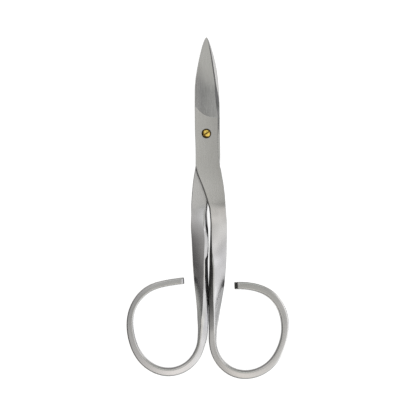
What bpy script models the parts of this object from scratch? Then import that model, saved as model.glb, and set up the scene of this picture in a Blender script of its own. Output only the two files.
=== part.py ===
"""Toenail scissors, closed and lying flat: two forged steel halves that cross
and turn on one brass screw.

World frame in metres: +Z up, +Y towards the blade tips, +X towards the loop
of the front half. The underside rests on z = 0 and the origin is under the
middle of the bounding box. The driving dimensions below are millimetres, and
unless a line says otherwise they are measured from the pivot axis.
"""

import math

import bmesh
import bpy
import numpy as np
from mathutils import Matrix

MM = 0.001

# ---------------------------------------------------------------- placement
PIVOT_X = -0.35  # pivot axis in the world frame
PIVOT_Y = 21.73

# ---------------------------------------------------- levels above the table
HALF_THICKNESS = 1.9  # each half where they cross
CONTACT_GAP = 0.1  # between the two inner faces
REAR_TOP = HALF_THICKNESS
FRONT_BOTTOM = HALF_THICKNESS + CONTACT_GAP
FRONT_TOP = FRONT_BOTTOM + HALF_THICKNESS
STACK = FRONT_TOP

# ----------------------------------------------------------------- blade end
TIP_Y = 28.3
# distance above the pivot and how far the spine stands off the long axis
FRONT_SPINE = (
    (-9.3, 3.15), (-7.9, 3.14), (-5.0, 3.16), (-2.6, 3.21), (-0.5, 3.31), (4.0, 3.38), (9.8, 3.42),
    (12.7, 3.41), (15.6, 3.23), (18.6, 2.80), (21.5, 2.25), (24.5, 1.56),
    (26.8, 0.89), (27.7, 0.50), (TIP_Y, 0.12),
)
REAR_SPINE = (
    (-9.3, 4.06), (-5.5, 4.07), (-2.0, 4.01), (4.0, 3.95), (7.0, 3.90), (9.8, 3.84), (12.7, 3.69),
    (15.6, 3.46), (18.6, 3.08), (21.5, 2.50), (24.5, 1.71), (26.8, 0.97),
    (27.7, 0.62), (TIP_Y, 0.18),
)
# distance above the pivot and reach of the cutting edge past the long axis
FRONT_EDGE = (
    (-9.3, 3.75), (-7.7, 3.53), (-4.0, 3.34), (-1.5, 3.30), (0.3, 3.42), (1.8, 3.62),
    (5.0, 3.69), (6.5, 3.73), (8.0, 3.76), (9.8, 3.70), (11.2, 3.50), (14.0, 2.98), (18.0, 2.37),
    (22.0, 1.77), (25.2, 1.18), (27.2, 0.62), (TIP_Y, 0.14),
)
REAR_EDGE = (
    (-9.3, 3.14), (-4.0, 2.95), (0.0, 2.90), (3.4, 2.90), (4.2, 3.02),
    (5.0, 3.22), (6.5, 3.30), (8.0, 3.27), (9.8, 3.18), (14.0, 2.62), (18.0, 2.00),
    (22.0, 1.38), (25.2, 0.88), (27.2, 0.46), (TIP_Y, 0.08),
)
GRIND_LOW = 4.6  # where the ground face runs out, at the cutting edge
GRIND_RISE = 3.5  # how much further up it runs out at the spine
GRIND_STEP = 0.085  # the small step along its run-out line, and the step's length
GRIND_STEP_RUN = 0.16
LIP = 0.018  # the front half's raised lip below the run-out line, and how soon it dies away
LIP_RUN = 0.35
# distance past the run-out line and how steeply the ground face falls there,
# along the spine and along the cutting edge
GRIND_SLOPE = (
    (0.0, 0.118, 0.122), (7.5, 0.112, 0.112), (11.0, 0.050, 0.045), (14.5, 0.000, 0.000),
    (20.0, -0.018, -0.018), (24.0, -0.018, -0.018),
)
EDGE_THICKNESS = 0.08
# distance above the pivot and width of the bevel along the cutting edge
BEVEL = (
    (-1.0, 0.07), (0.5, 0.14), (2.2, 0.33), (5.3, 0.36), (6.3, 0.56), (7.4, 0.78),
    (9.8, 1.00), (11.2, 0.92), (12.9, 0.70), (14.6, 0.44), (18.0, 0.42), (24.0, 0.38),
    (26.5, 0.26), (TIP_Y, 0.03),
)
BEVEL_FALL = 1.88  # its greatest depth for each millimetre of width
# distance above the pivot and width of the easing along the rear blade's inner face
INNER_EASE = ((9.5, 0.04), (13.0, 0.90), (18.0, 0.98), (22.0, 0.95), (TIP_Y, 0.05))
INNER_EASE_DROP = 0.32  # its depth for each millimetre of width
INNER_EASE_ROUND = 0.1  # 0 is a flat facet

# ------------------------------------------------------------------ crossing
# (distance above the pivot, left side, right side), front half
FRONT_NECK = (
    (-9.3, -3.15, 3.87), (-10.4, -3.10, 4.22), (-12.1, -2.65, 4.52), (-13.9, -1.92, 4.86),
    (-15.7, -1.19, 5.12), (-17.6, -0.51, 5.35), (-19.7, 0.15, 5.53),
    (-21.5, 0.66, 5.66),
)
# the same for the rear half
REAR_NECK = (
    (-9.3, -3.14, 4.04), (-10.6, -3.36, 3.55), (-12.1, -3.62, 2.80), (-13.9, -3.88, 2.06),
    (-15.7, -4.08, 1.35), (-17.6, -4.25, 0.80), (-19.7, -4.40, 0.48),
    (-21.5, -4.52, 0.42),
)

# ------------------------------------------------------ shank and finger loop
# distance along the strip, its width, thickness, twist in degrees, the height
# of its underside above the table and its shift to +X of the centre line
REAR_STRIP = (
    (0.0, 4.95, 1.90, 2.0, 0.00, 0.08), (2.4, 4.68, 1.92, 10.0, 0.00, 0.09),
    (5.3, 4.83, 1.96, 19.0, 0.00, 0.06), (7.4, 5.09, 1.99, 23.6, 0.00, 0.19),
    (10.0, 5.14, 2.02, 28.5, 0.00, 0.24), (13.2, 5.02, 2.07, 32.1, 0.00, 0.18),
    (15.8, 4.53, 2.07, 35.0, 0.00, -0.06), (18.0, 4.52, 1.99, 37.5, 0.00, -0.10),
    (23.0, 4.27, 2.17, 44.2, 0.00, -0.06), (27.4, 3.78, 2.26, 50.8, 0.00, -0.01),
    (30.5, 3.42, 2.33, 56.0, 0.00, -0.01), (33.5, 3.05, 2.57, 62.0, 0.00, -0.01),
    (37.5, 2.40, 2.60, 71.0, 0.00, 0.00), (41.0, 2.35, 2.25, 77.0, 0.00, 0.00),
    (45.6, 2.50, 2.38, 79.6, 0.00, 0.06), (53.2, 2.50, 2.42, 81.7, 0.00, 0.21),
    (61.5, 2.50, 2.37, 83.0, 0.00, -0.05), (70.0, 2.50, 2.22, 83.6, 0.00, -0.26),
    (78.4, 2.50, 1.97, 84.1, 0.00, -0.07), (85.8, 2.50, 2.15, 84.4, 0.00, -0.02),
    (91.4, 2.50, 2.08, 84.7, 0.00, -0.14), (97.2, 2.50, 2.08, 85.0, 0.00, 0.07),
)
FRONT_STRIP = (
    (0.0, 4.95, 1.90, 1.0, 1.97, 0.00), (2.4, 4.86, 1.92, 4.0, 1.62, 0.08),
    (5.3, 4.86, 1.96, 9.0, 1.00, 0.16), (10.0, 4.89, 2.02, 16.0, 0.32, 0.12),
    (14.0, 5.00, 2.08, 25.5, 0.06, 0.11), (18.0, 4.82, 2.40, 35.0, 0.00, 0.17),
    (23.0, 4.68, 2.47, 43.8, 0.00, 0.16), (27.4, 4.21, 2.32, 50.8, 0.00, 0.11),
    (30.5, 3.56, 2.28, 56.0, 0.00, 0.15), (33.5, 3.10, 2.24, 62.0, 0.00, 0.26),
    (37.5, 2.40, 2.24, 71.0, 0.00, 0.28), (41.0, 2.35, 2.19, 77.0, 0.00, 0.10),
    (45.6, 2.50, 2.32, 79.6, 0.00, -0.01), (53.2, 2.50, 2.49, 81.7, 0.00, -0.15),
    (61.5, 2.50, 2.36, 83.0, 0.00, -0.18), (70.0, 2.50, 2.04, 83.6, 0.00, 0.14),
    (78.4, 2.50, 2.36, 84.1, 0.00, 0.12), (85.8, 2.50, 2.43, 84.4, 0.00, 0.22),
    (91.4, 2.50, 2.39, 84.7, 0.00, 0.34), (97.2, 2.50, 2.26, 85.0, 0.00, 0.26),
)
# distance along the strip and its raised upper edge's rounding: how far it
# reaches across and down, and how round it is (0 is a flat chamfer)
REAR_ARRIS = (
    (0.0, 0.50, 0.46, 1.0), (1.4, 0.92, 1.10, 1.1), (3.4, 1.05, 1.36, 1.2), (5.3, 0.92, 1.42, 0.9),
    (7.4, 0.76, 1.27, 0.0), (10.0, 0.62, 1.24, 0.0), (13.2, 0.58, 1.38, 0.0), (15.8, 0.20, 0.26, 0.0),
    (20.0, 0.20, 0.26, 0.0), (24.0, 0.19, 0.60, 0.1), (27.5, 0.18, 1.30, 0.0), (31.0, 0.20, 1.20, 0.1),
    (35.0, 0.40, 0.90, 0.8),
    (40.0, 0.50, 0.50, 1.0), (97.2, 0.50, 0.50, 1.0),
)
FRONT_ARRIS = (
    (0.0, 0.42, 0.33, 0.2), (5.0, 0.24, 0.21, 0.3), (8.5, 0.13, 0.11, 0.0), (13.0, 0.15, 0.11, 0.0),
    (17.0, 0.30, 0.19, 0.0),    (33.0, 0.31, 0.18, 0.0), (38.0, 0.46, 0.46, 1.0), (97.2, 0.50, 0.50, 1.0),
)
# the same for its outer upper edge
OUTER_EDGE = ((0.0, 0.14), (6.0, 0.20), (14.0, 0.38), (20.0, 0.48), (97.2, 0.48))
# and the lower edges where the two shanks face each other, the rear one like its raised edge
REAR_LOWER_EDGE = (
    (0.0, 0.48, 0.48, 1.0), (1.2, 0.22, 0.22, 1.0), (5.0, 0.14, 0.14, 1.0), (5.9, 0.18, 0.20, 1.0),
    (7.4, 0.36, 0.69, 0.0),
    (10.0, 0.40, 0.73, 0.0), (13.2, 0.40, 0.64, 0.0), (15.4, 0.14, 0.14, 1.0), (20.0, 0.16, 0.16, 1.0), (23.0, 0.26, 0.26, 1.0),
    (28.0, 0.38, 0.38, 1.0), (36.0, 0.48, 0.48, 1.0), (97.2, 0.48, 0.48, 1.0),
)
FRONT_LOWER_EDGE = ((0.0, 0.48), (8.0, 0.32), (20.0, 0.24), (23.0, 0.34), (28.0, 0.42), (36.0, 0.48), (97.2, 0.48))
# distance back from the free end and how far the raised edge is cut down there
REAR_END = ((0.0, 0.80), (0.12, 0.50), (0.35, 0.27), (0.7, 0.09), (1.2, 0.0))
FRONT_END = ((0.0, 1.15), (0.15, 0.92), (0.55, 0.52), (0.95, 0.14), (1.2, 0.02), (1.4, 0.0))
# distance along the strip and radius of its bend there, which changes evenly
# between them; a minus sign bends the strip away from the loop's inside
REAR_START = (-2.10, -21.5, -91.3)  # x, y and heading in degrees
REAR_BENDS = (
    (0.0, -130), (11.2, -555), (22.3, -555), (29.0, 303), (33.6, 92), (39.2, 18.9),
    (45.7, 8.88), (53.2, 10.1), (61.5, 10.85), (70.0, 17.9), (78.4, 12.2),
    (85.8, 11.15), (91.4, 21.0), (97.0, -133),
)
FRONT_START = (3.20, -21.5, -85.5)
FRONT_BENDS = (
    (0.0, -75), (11.1, -244), (22.3, -238), (28.9, -154), (33.5, 165), (39.1, 17.7),
    (45.6, 9.36), (53.2, 9.44), (61.6, 11.6), (70.1, 16.8), (78.5, 13.6),
    (86.1, 10.05), (91.7, 14.9), (97.2, 57.5),
)
CORNER = 0.48  # rounding of the strip's other long edges
BLADE_CORNER = 0.28
UPPER_CORNER = 0.12  # along the outer edges of the front half, from above
CROSSING_CHAMFER = (-9.3, -10.4)  # where the front half's left edge grows its chamfer
INNER_CORNER = 0.07  # along the edges of the two inner faces

# --------------------------------------------------------------------- screw
HEAD_RADIUS = 1.25
HEAD_RIM_Z = 3.62
HEAD_TOP_Z = 4.22
SLOT_WIDTH = 0.36
SLOT_DEPTH = 0.38
SLOT_ANGLE = 33.0
NECK_RADIUS = 0.88
TAIL_RADIUS = 1.18
RUNNING_GAP = 0.08  # round the neck, in both holes
TAIL_GAP = 0.15
COUNTERBORE_RADIUS = 1.39
COUNTERBORE_FLOOR_Z = 3.0

# ---------------------------------------------------------------- resolution
CORNER_STEPS = 2
TOP_POINTS = 4
BOTTOM_POINTS = 1
ROUND = 36


def even_curve(rows, at, column=1):
    """A smooth curve through a table's rows that doesn't overshoot them."""
    table = np.array(sorted(rows), float)
    x, y = table[:, 0], table[:, column]
    h = np.diff(x)
    slope = np.diff(y) / h
    m = np.zeros(len(x))
    m[0], m[-1] = slope[0], slope[-1]
    for i in range(1, len(x) - 1):
        if slope[i - 1] * slope[i] > 0:
            a, b = 2 * h[i] + h[i - 1], h[i] + 2 * h[i - 1]
            m[i] = (a + b) / (a / slope[i - 1] + b / slope[i])
    at = np.clip(at, x[0], x[-1])
    i = np.clip(np.searchsorted(x, at) - 1, 0, len(x) - 2)
    t = (at - x[i]) / h[i]
    return (
        y[i] * (1 + 2 * t) * (1 - t) ** 2
        + m[i] * h[i] * t * (1 - t) ** 2
        + y[i + 1] * t * t * (3 - 2 * t)
        + m[i + 1] * h[i] * t * t * (t - 1)
    )


def bent_path(start, bends, side, steps=4000):
    """The strip's centre line: arc length, x, y and heading at even steps."""
    stations = np.array([row[0] for row in bends], float)
    bend = np.array([side / row[1] for row in bends], float)
    s = np.linspace(0, stations[-1], steps)
    k = np.interp(s, stations, bend)
    step = s[1] - s[0]
    heading = math.radians(start[2]) + np.concatenate([[0], np.cumsum((k[1:] + k[:-1]) / 2 * step)])
    middle = (heading[1:] + heading[:-1]) / 2
    x = start[0] + np.concatenate([[0], np.cumsum(np.cos(middle) * step)])
    y = start[1] + np.concatenate([[0], np.cumsum(np.sin(middle) * step)])
    return s, x, y, heading


def run_out(u):
    """Distance above the pivot of the line where the ground face ends; u runs from spine to edge."""
    return GRIND_LOW + GRIND_RISE * (1 - min(max(u, 0.0), 1.0)) ** 2.6


def fall(past, column):
    """How far the ground face has fallen at a distance past its run-out line."""
    at = np.linspace(0, past, 60)
    slope = np.interp(at, [row[0] for row in GRIND_SLOPE], [row[column] for row in GRIND_SLOPE])
    return float(np.sum((slope[1:] + slope[:-1]) / 2) * (at[1] - at[0]))


def blade_thickness(u, y, lip=0.0):
    """Thickness at u across the blade, from spine (0) to cutting edge (1)."""
    past = y - run_out(u)
    if past <= 0:
        return HALF_THICKNESS + lip * math.exp(max(past / LIP_RUN, -30.0))
    u = min(max(u, 0.0), 1.0)
    step = GRIND_STEP * min(past / GRIND_STEP_RUN, 1.0)
    return HALF_THICKNESS + lip - step - (1 - u) * fall(past, 1) - u * fall(past, 2)


def ring_points(left, right, top, bottom, corners):
    """A closed section, clockwise from its left side: (u, across, up).

    top and bottom give the height at u, which runs from 0 at left to 1 at
    right. corners are those at top left, top right, bottom right and bottom
    left, each as (width, height, roundness), where 0 is a flat chamfer and 1
    is round.
    """
    width = right - left
    points = []

    def corner(u0, sign_a, size, height, sign_z, first, last):
        rx, rz, roundness = size
        a0 = left + u0 * width + sign_a * rx
        z0 = height((a0 - left) / width) + sign_z * rz
        ends = [(math.cos(math.radians(e)), math.sin(math.radians(e))) for e in (first, last)]
        for i in range(CORNER_STEPS + 1):
            t = i / CORNER_STEPS
            angle = math.radians(first + (last - first) * t)
            ca, cz = (
                roundness * arc + (1 - roundness) * ((1 - t) * one + t * two)
                for arc, one, two in zip((math.cos(angle), math.sin(angle)), *ends)
            )
            a = a0 + rx * ca
            points.append(((a - left) / width, a, z0 + rz * cz))

    def between(r_from, r_to, height, count, forward):
        u0, u1 = (r_from / width, 1 - r_to / width) if forward else (1 - r_from / width, r_to / width)
        for i in range(1, count + 1):
            u = u0 + (u1 - u0) * i / (count + 1)
            points.append((u, left + u * width, height(u)))

    tl, tr, br, bl = ((c, c, 1.0) if isinstance(c, float) else c for c in corners)
    corner(0, 1, tl, top, -1, 180, 90)
    between(tl[0], tr[0], top, TOP_POINTS, True)
    corner(1, -1, tr, top, -1, 90, 0)
    corner(1, -1, br, bottom, 1, 0, -90)
    between(br[0], bl[0], bottom, BOTTOM_POINTS, False)
    corner(0, 1, bl, bottom, 1, -90, -180)
    return points


NOMINAL_LINE = 5.9


def blade_rows():
    """Nominal distances above the pivot of the sections from tip to crossing."""
    tip = TIP_Y - np.array([0.0, 0.12, 0.35, 0.8, 1.5, 2.4])
    blade = np.linspace(TIP_Y - 3.8, 8.6, 12)
    heel = NOMINAL_LINE + np.array([1.5, 0.7, GRIND_STEP_RUN, 0.0, -0.25, -0.6])
    flat = np.array([4.4, 3.2, 1.6, -1.6, -4.6, -7.4])
    return np.concatenate([tip, blade, heel, flat])


def half(front):
    """The rings of one half, from the tip of the blade to the end of the loop."""
    side = 1 if front else -1
    rings = []
    for y0 in blade_rows():
        # sections near the run-out line follow it, so that its crease is a row of edges
        pull = 1 - abs(y0 - NOMINAL_LINE) / (9.0 if y0 > NOMINAL_LINE else 4.5)
        pull = max(pull, 0.0)

        def y_at(u):
            return y0 + pull * (run_out(u) - NOMINAL_LINE)

        spine = float(even_curve(FRONT_SPINE if front else REAR_SPINE, y_at(0.0)))
        edge = float(even_curve(FRONT_EDGE if front else REAR_EDGE, y_at(1.0)))
        thin = min(1.0, (spine + edge) / 2.4)
        corner = BLADE_CORNER * thin
        bevel = min(float(even_curve(BEVEL, y_at(1.0))), 0.35 * (spine + edge))
        bevel_u = 1 - bevel / (spine + edge)
        thick = blade_thickness(bevel_u, y_at(bevel_u), LIP if front else 0.0)
        deep = min(thick - EDGE_THICKNESS, BEVEL_FALL * bevel)
        upper = UPPER_CORNER * thin
        edge_corner = (bevel, deep, 0.0) if front else (max(bevel, corner), max(deep, corner), 0.0)
        inner = min(INNER_CORNER, 0.3 * (thick - deep)) * thin
        spine_inner = INNER_CORNER * thin
        if front:
            points = ring_points(
                -spine, edge,
                lambda u: FRONT_BOTTOM + blade_thickness(u, y_at(u), LIP),
                lambda u: FRONT_BOTTOM,
                (upper, edge_corner, inner, spine_inner),
            )
            rings.append([(a, y_at(u), z) for u, a, z in points])
        else:
            ease = min(float(even_curve(INNER_EASE, y_at(0.0))), 0.45 * (spine + edge))
            spare = blade_thickness(0.0, y_at(0.0)) - corner - 0.02
            drop = min(max(INNER_EASE_DROP * ease, 0.04), spare)
            points = ring_points(
                -edge, spine,
                lambda u: REAR_TOP,
                lambda u: REAR_TOP - blade_thickness(1 - u, y_at(1 - u)),
                (inner, (ease, drop, INNER_EASE_ROUND), corner, edge_corner),
            )
            rings.append([(a, y_at(1 - u), z) for u, a, z in points])

    neck = FRONT_NECK if front else REAR_NECK
    bottom, top = (FRONT_BOTTOM, FRONT_TOP) if front else (0.0, REAR_TOP)
    for y0 in np.linspace(-9.3, -20.6, 9):
        far = (y0 + 9.3) / (-21.5 + 9.3)
        outer = BLADE_CORNER + (CORNER - BLADE_CORNER) * far
        inner = INNER_CORNER + (CORNER - INNER_CORNER) * far
        upper = UPPER_CORNER + (OUTER_EDGE[0][1] - UPPER_CORNER) * far
        grown = min((y0 - CROSSING_CHAMFER[0]) / (CROSSING_CHAMFER[1] - CROSSING_CHAMFER[0]), 1.0)
        arris = UPPER_CORNER + (FRONT_ARRIS[0][1] - UPPER_CORNER) * grown
        arris = (arris, arris * (1 - 0.22 * grown), 1 - 0.8 * grown)
        corners = (arris, (0.7 * upper, 1.3 * upper, 0.0), inner, inner) if front else ((1.2 * upper, upper, 0.0), inner, outer, outer)
        points = ring_points(
            even_curve(neck, y0, 1), even_curve(neck, y0, 2), lambda u: top, lambda u: bottom, corners
        )
        rings.append([(a, y0, z) for u, a, z in points])

    s, x, y, heading = bent_path(FRONT_START if front else REAR_START, FRONT_BENDS if front else REAR_BENDS, side)
    end = s[-1]
    shank = np.linspace(0.3, 33.0, 20)
    loop = np.linspace(34.5, end - 1.6, 41)
    last = end - np.array([1.2, 0.8, 0.45, 0.12, 0.0])
    strip = FRONT_STRIP if front else REAR_STRIP
    for at in np.concatenate([shank, loop, last]):
        width, thick, twist, under, shift = (even_curve(strip, at, c) for c in (1, 2, 3, 4, 5))
        # the free end is cut down from its raised edge, and a little from below
        over = even_curve(FRONT_END if front else REAR_END, end - at)
        thick -= 0.2 if at > end - 0.05 else 0.0
        under += 0.3 * over
        left, right = (over - width / 2, width / 2 - 0.3 * over) if front else (0.3 * over - width / 2, width / 2 - over)
        corner = min(CORNER, thick * 0.25, (right - left) * 0.3)
        edge = min(even_curve(OUTER_EDGE, at), corner)
        raised = FRONT_ARRIS if front else REAR_ARRIS
        arris = (
            min(even_curve(raised, at), (right - left) * 0.3),
            min(even_curve(raised, at, 2), thick * (0.24 if at > 40 else 0.75)),
            even_curve(raised, at, 3),
        )
        if front:
            lower = min(float(even_curve(FRONT_LOWER_EDGE, at)), corner)
        else:
            most = corner if at > 20 else thick * 0.4
            lower = (*(min(even_curve(REAR_LOWER_EDGE, at, c), most) for c in (1, 2)), even_curve(REAR_LOWER_EDGE, at, 3))
        points = ring_points(
            left, right, lambda u: thick / 2, lambda u: -thick / 2,
            (arris, edge, corner, lower) if front else (edge, arris, lower, corner),
        )
        # the top face turns outwards: to the left on the rear half, to the right on the front one
        angle = math.radians(-side * twist)
        c, sn = math.cos(angle), math.sin(angle)
        turned = [(a * c - z * sn, a * sn + z * c) for u, a, z in points]
        low = min(z for a, z in turned)
        i = np.interp(at, s, np.arange(len(s)))
        px, py, ph = (np.interp(i, np.arange(len(s)), v) for v in (x, y, heading))
        # the first sections still lie square to the long axis
        settle = min(at / 8.0, 1.0)
        across = -math.pi / 2 + (ph + math.pi / 2) * settle
        nx, ny = -math.sin(across), math.cos(across)
        rings.append([(px + (a + shift) * nx, py + (a + shift) * ny, z - low + under) for a, z in turned])
    return rings


def object_from(name, build, colour, roughness, metallic=1.0):
    """A named object with its origin on the pivot axis and its own material."""
    bm = bmesh.new()
    build(bm)
    bmesh.ops.recalc_face_normals(bm, faces=bm.faces)
    mesh = bpy.data.meshes.new(name)
    bm.to_mesh(mesh)
    bm.free()
    thing = bpy.data.objects.new(name, mesh)
    bpy.context.scene.collection.objects.link(thing)
    thing.location = (PIVOT_X * MM, PIVOT_Y * MM, 0.0)
    if colour:
        paint = bpy.data.materials.new(name + "_metal")
        paint.use_nodes = True
        shader = paint.node_tree.nodes["Principled BSDF"]
        shader.inputs["Base Color"].default_value = (*colour, 1.0)
        shader.inputs["Roughness"].default_value = roughness
        shader.inputs["Metallic"].default_value = metallic
        mesh.materials.append(paint)
    return thing


def loft(bm, rings):
    rows = [[bm.verts.new((x * MM, y * MM, z * MM)) for x, y, z in ring] for ring in rings]
    count = len(rows[0])
    for one, two in zip(rows, rows[1:]):
        for i in range(count):
            j = (i + 1) % count
            bm.faces.new((one[i], one[j], two[j], two[i]))
    for row in (rows[0], rows[-1]):
        centre = bm.verts.new(sum((v.co for v in row), row[0].co * 0) / count)
        for i in range(count):
            bm.faces.new((row[i], row[(i + 1) % count], centre))


def turn(bm, profile, steps=ROUND):
    """Turns (radius, height) points about the pivot axis into a closed body."""
    path = [bm.verts.new((r * MM, 0, z * MM)) for r, z in profile]
    edges = [bm.edges.new(pair) for pair in zip(path, path[1:])]
    bmesh.ops.spin(
        bm, geom=path + edges, cent=(0, 0, 0), axis=(0, 0, 1), angle=2 * math.pi, steps=steps, use_merge=True,
    )
    bmesh.ops.remove_doubles(bm, verts=bm.verts, dist=1e-7)


def cutter(name, build, target):
    tool = object_from(name, build, None, None)
    tool.hide_render = True
    tool.display_type = "WIRE"
    cut = target.modifiers.new(name, "BOOLEAN")
    cut.operation = "DIFFERENCE"
    cut.solver = "EXACT"
    cut.object = tool
    return tool


def slot_block(bm):
    bmesh.ops.create_cube(bm, size=1.0)
    bmesh.ops.scale(bm, verts=bm.verts, vec=(4 * HEAD_RADIUS * MM, SLOT_WIDTH * MM, 2 * MM))
    bmesh.ops.translate(bm, verts=bm.verts, vec=(0, 0, (HEAD_TOP_Z - SLOT_DEPTH + 1.0) * MM))
    bmesh.ops.rotate(bm, verts=bm.verts, cent=(0, 0, 0), matrix=Matrix.Rotation(math.radians(SLOT_ANGLE), 3, "Z"))


def screw_profile():
    """Flared tail, neck, and a head domed above its rim."""
    profile = [(0, 0.06), (TAIL_RADIUS, 0.06), (TAIL_RADIUS, 0.20), (NECK_RADIUS, 0.55)]
    profile += [(NECK_RADIUS, COUNTERBORE_FLOOR_Z + 0.1), (HEAD_RADIUS - 0.08, COUNTERBORE_FLOOR_Z + 0.1)]
    profile += [(HEAD_RADIUS, COUNTERBORE_FLOOR_Z + 0.18)]
    rise = HEAD_TOP_Z - HEAD_RIM_Z
    for i in range(7):
        angle = math.radians(90 * i / 6)
        profile.append((HEAD_RADIUS * math.cos(angle), HEAD_RIM_Z + rise * math.sin(angle)))
    profile[-1] = (0, HEAD_TOP_Z)
    return profile


def main():
    for old in list(bpy.data.objects):
        bpy.data.objects.remove(old, do_unlink=True)

    steel = (0.56, 0.56, 0.54)
    front = object_from("front_half", lambda bm: loft(bm, half(True)), steel, 0.32)
    rear = object_from("rear_half", lambda bm: loft(bm, half(False)), steel, 0.32)
    screw = object_from("pivot_screw", lambda bm: turn(bm, screw_profile()), (0.70, 0.48, 0.20), 0.28)

    hole = NECK_RADIUS + RUNNING_GAP
    cutter(
        "front_hole",
        lambda bm: turn(bm, [
            (0, FRONT_BOTTOM - 1), (hole, FRONT_BOTTOM - 1), (hole, COUNTERBORE_FLOOR_Z),
            (COUNTERBORE_RADIUS, COUNTERBORE_FLOOR_Z), (COUNTERBORE_RADIUS, STACK + 1), (0, STACK + 1),
        ]),
        front,
    )
    flare = TAIL_RADIUS + TAIL_GAP
    cutter(
        "rear_hole",
        lambda bm: turn(bm, [
            (0, -1), (flare, -1), (flare, 0.25), (hole, 0.62), (hole, REAR_TOP + 1), (0, REAR_TOP + 1),
        ]),
        rear,
    )
    cutter("head_slot", slot_block, screw)

    for thing in (front, rear, screw):
        thing.data.shade_smooth()
        thing.data.set_sharp_from_angle(angle=math.radians(32))


main()
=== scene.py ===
"""Looks of the toenail scissors: two satin steel halves and one brass screw.

The shapes repeat the construction's own sections at a finer step, in
millimetres from the pivot axis, and add what the solids leave out: crowned
faces, ground and eased edges, a slotted and domed screw head.
"""

import math

import bmesh
import bpy
import numpy as np
from mathutils import Matrix, Vector


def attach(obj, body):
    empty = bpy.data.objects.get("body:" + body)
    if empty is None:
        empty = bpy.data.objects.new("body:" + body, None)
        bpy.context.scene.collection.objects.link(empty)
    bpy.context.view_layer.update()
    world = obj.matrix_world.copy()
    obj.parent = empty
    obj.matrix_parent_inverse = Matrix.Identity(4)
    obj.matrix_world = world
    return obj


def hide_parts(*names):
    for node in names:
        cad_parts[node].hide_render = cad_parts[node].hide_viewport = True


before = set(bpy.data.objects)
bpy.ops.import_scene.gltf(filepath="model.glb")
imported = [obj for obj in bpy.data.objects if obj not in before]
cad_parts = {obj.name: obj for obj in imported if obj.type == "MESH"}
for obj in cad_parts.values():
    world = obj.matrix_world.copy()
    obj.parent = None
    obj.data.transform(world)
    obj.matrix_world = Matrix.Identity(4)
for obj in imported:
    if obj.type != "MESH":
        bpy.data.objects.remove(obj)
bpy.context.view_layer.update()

MM = 0.001
PIVOT_X = -0.35
PIVOT_Y = 21.73

# ------------------------------------------------------------------- shapes
HALF_THICKNESS = 1.9
CONTACT_GAP = 0.1
REAR_TOP = HALF_THICKNESS
FRONT_BOTTOM = HALF_THICKNESS + CONTACT_GAP
FRONT_TOP = FRONT_BOTTOM + HALF_THICKNESS

TIP_Y = 28.3
FRONT_SPINE = (
    (-9.3, 3.15), (-7.9, 3.14), (-5.0, 3.16), (-2.6, 3.21), (-0.5, 3.31), (4.0, 3.38), (9.8, 3.42),
    (12.7, 3.41), (15.6, 3.23), (18.6, 2.80), (21.5, 2.25), (24.5, 1.56),
    (26.8, 0.89), (27.7, 0.50), (TIP_Y, 0.12),
)
REAR_SPINE = (
    (-9.3, 4.06), (-5.5, 4.07), (-2.0, 4.01), (4.0, 3.95), (7.0, 3.90), (9.8, 3.84), (12.7, 3.69),
    (15.6, 3.46), (18.6, 3.08), (21.5, 2.50), (24.5, 1.71), (26.8, 0.97),
    (27.7, 0.62), (TIP_Y, 0.18),
)
FRONT_EDGE = (
    (-9.3, 3.75), (-7.7, 3.53), (-4.0, 3.34), (-1.5, 3.30), (0.3, 3.42), (1.8, 3.62),
    (5.0, 3.69), (6.5, 3.73), (8.0, 3.76), (9.8, 3.70), (11.2, 3.50), (14.0, 2.98), (18.0, 2.37),
    (22.0, 1.77), (25.2, 1.18), (27.2, 0.62), (TIP_Y, 0.14),
)
REAR_EDGE = (
    (-9.3, 3.14), (-4.0, 2.95), (0.0, 2.90), (3.4, 2.90), (4.2, 3.02),
    (5.0, 3.22), (6.5, 3.30), (8.0, 3.27), (9.8, 3.18), (14.0, 2.62), (18.0, 2.00),
    (22.0, 1.38), (25.2, 0.88), (27.2, 0.46), (TIP_Y, 0.08),
)
GRIND_LOW = 4.6
GRIND_RISE = 3.5
GRIND_STEP = 0.085
GRIND_STEP_RUN = 0.16
LIP = 0.018
LIP_RUN = 0.35
GRIND_SLOPE = (
    (0.0, 0.118, 0.122), (7.5, 0.112, 0.112), (11.0, 0.050, 0.045), (14.5, 0.000, 0.000),
    (20.0, -0.018, -0.018), (24.0, -0.018, -0.018),
)
EDGE_THICKNESS = 0.08
BEVEL = (
    (-1.0, 0.07), (0.5, 0.14), (2.2, 0.33), (5.3, 0.36), (6.3, 0.56), (7.4, 0.78),
    (9.8, 1.00), (11.2, 0.92), (12.9, 0.70), (14.6, 0.44), (18.0, 0.42), (24.0, 0.38),
    (26.5, 0.26), (TIP_Y, 0.03),
)
BEVEL_FALL = 1.88
INNER_EASE = ((9.5, 0.04), (13.0, 0.90), (18.0, 0.98), (22.0, 0.95), (TIP_Y, 0.05))
INNER_EASE_DROP = 0.32
INNER_EASE_ROUND = 0.1
FRONT_NECK = (
    (-9.3, -3.15, 3.87), (-10.4, -3.10, 4.22), (-12.1, -2.65, 4.52), (-13.9, -1.92, 4.86),
    (-15.7, -1.19, 5.12), (-17.6, -0.51, 5.35), (-19.7, 0.15, 5.53),
    (-21.5, 0.66, 5.66),
)
REAR_NECK = (
    (-9.3, -3.14, 4.04), (-10.6, -3.36, 3.55), (-12.1, -3.62, 2.80), (-13.9, -3.88, 2.06),
    (-15.7, -4.08, 1.35), (-17.6, -4.25, 0.80), (-19.7, -4.40, 0.48),
    (-21.5, -4.52, 0.42),
)
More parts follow.
